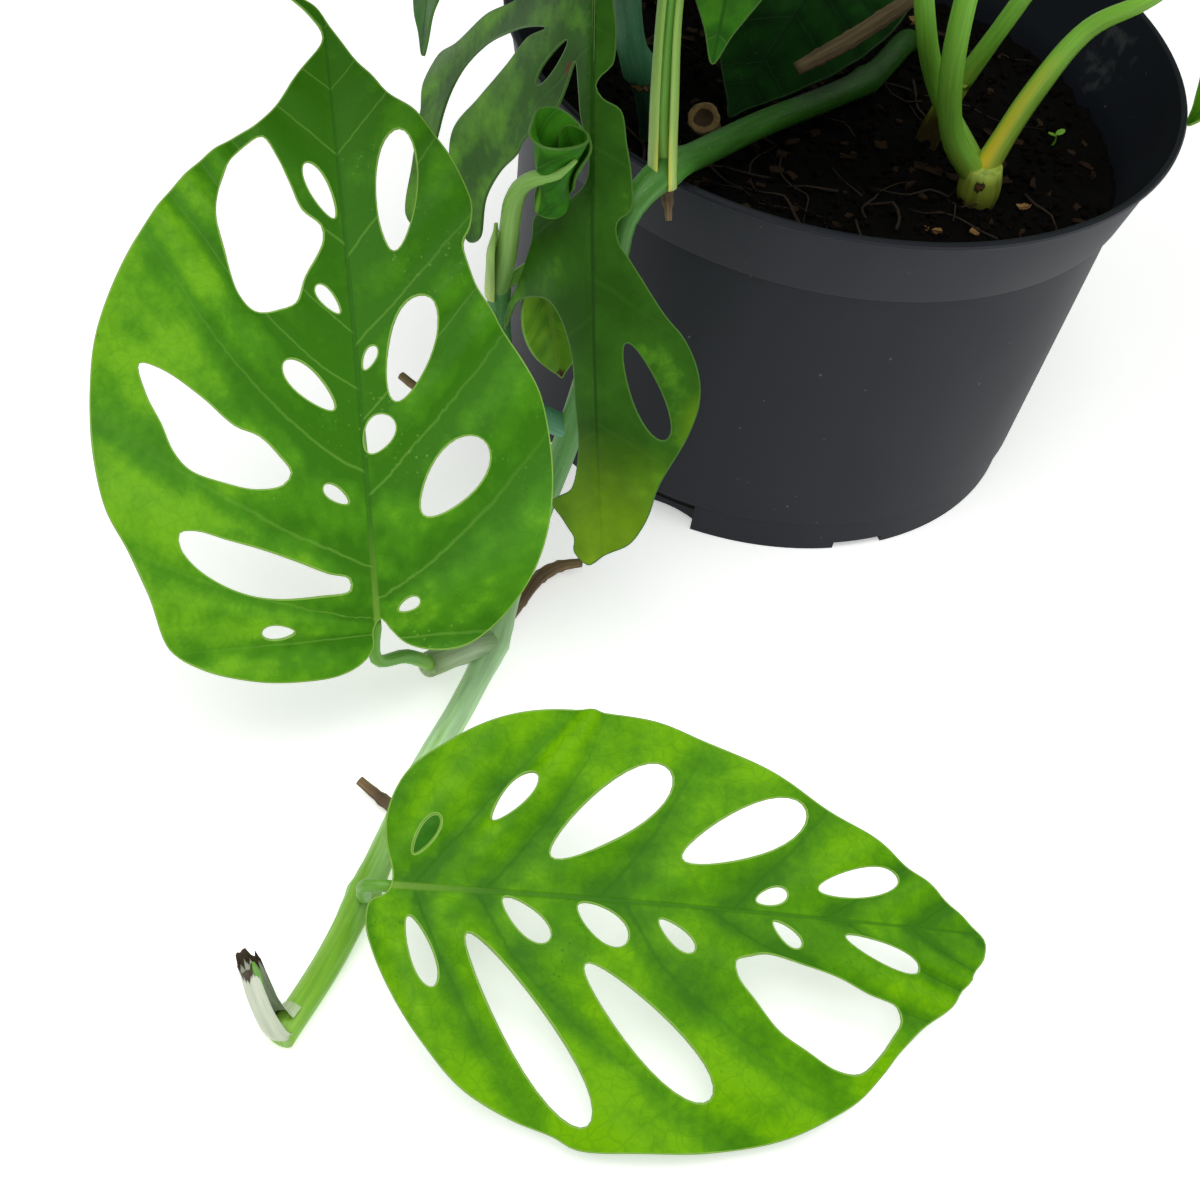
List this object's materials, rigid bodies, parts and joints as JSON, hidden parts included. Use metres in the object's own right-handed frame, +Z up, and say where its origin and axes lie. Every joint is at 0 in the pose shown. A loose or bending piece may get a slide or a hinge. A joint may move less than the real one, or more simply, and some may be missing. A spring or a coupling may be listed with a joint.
{
  "type": "monstera adansonii in a nursery pot",
  "caption": "Aroid house plant with long leaves full of oval holes, in a round black nursery pot; a long vine trails over the rim onto the surface.",
  "frame": {"origin": "centre of the flat pad under the pot, on the surface it stands on", "axes": "+Z up along the pot's axis; the long vine trails over the rim towards -Y"},
  "size_m": [0.372, 0.4681, 0.3203],
  "materials": {
    "pot_plastic": "satin injection-moulded polypropylene",
    "soil": "loose dark peat and bark mix",
    "leaf_green": "satin living leaf",
    "leaf_dark": "satin living leaf",
    "leaf_young": "satin new leaf",
    "stem_green": "smooth living stem",
    "root_bark": "dry bark"
  },
  "bodies": {
    "root": {"leaf_trailing_upper": "leaf_green", "leaf_trailing_lower": "leaf_green", "leaf_hanging": "leaf_green", "leaf_front_top": "leaf_green", "leaf_left_front": "leaf_green", "leaf_left_back": "leaf_green", "leaf_left_top": "leaf_green", "leaf_right_top": "leaf_green", "leaf_back": "leaf_green", "leaf_right_back": "leaf_green", "leaf_top": "leaf_green", "leaf_right_front": "leaf_green", "leaf_right_low": "leaf_green", "leaf_centre_hanging": "leaf_green", "leaf_left_hanging": "leaf_green", "leaf_young_solid": "leaf_dark", "leaf_young_folded": "leaf_young", "leaf_rolled": "leaf_young", "vine_trailing": "stem_green", "side_shoot": "stem_green", "stem_right_cluster": "stem_green", "petiole_right": "stem_green", "stem_left": "stem_green", "stem_back": "stem_green", "stalk_young_leaf": "stem_green", "stump_cut_stem": "root_bark", "aerial_root_long": "root_bark", "aerial_root_short": "root_bark", "aerial_root_rim": "root_bark", "aerial_root_hidden": "root_bark", "aerial_root_thick": "root_bark", "pot": "pot_plastic", "soil": "soil"}
  },
  "joints": []
}
